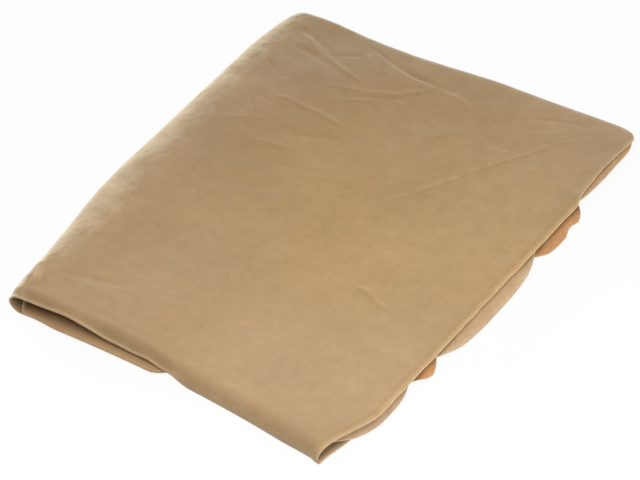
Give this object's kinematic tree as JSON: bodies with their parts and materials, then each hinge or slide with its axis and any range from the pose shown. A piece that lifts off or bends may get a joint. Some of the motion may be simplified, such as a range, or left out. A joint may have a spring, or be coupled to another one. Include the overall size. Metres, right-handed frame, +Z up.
{
  "type": "folded chamois leather",
  "caption": "Soft suede chamois leather for drying and polishing, folded in quarters into a flat book that opens about its rounded side fold.",
  "frame": {"origin": "centre of the folded leather's box, on the surface that it lies on", "axes": "+Z up, +Y from the open front edge to the back fold, +X from the side fold to the open right edge"},
  "size_m": [0.2513, 0.3295, 0.0156],
  "materials": {
    "chamois_leather": "matt tan suede with a short nap, faintly mottled"
  },
  "bodies": {
    "lower_half": {"bottom_quarter": "chamois_leather", "second_quarter": "chamois_leather", "lower_back_fold": "chamois_leather", "outer_left_fold": "chamois_leather", "inner_left_fold": "chamois_leather", "corner_fold": "chamois_leather"},
    "upper_half": {"third_quarter": "chamois_leather", "top_quarter": "chamois_leather", "upper_back_fold": "chamois_leather"}
  },
  "joints": [
    {"name": "side_fold", "type": "hinge", "parent": "lower_half", "child": "upper_half", "pos_m": [-0.1175, 0, 0.0082], "axis": [0.0636, -0.998, 0], "range_deg": [0, 180], "deforming": ["outer_left_fold", "inner_left_fold", "corner_fold"]}
  ]
}
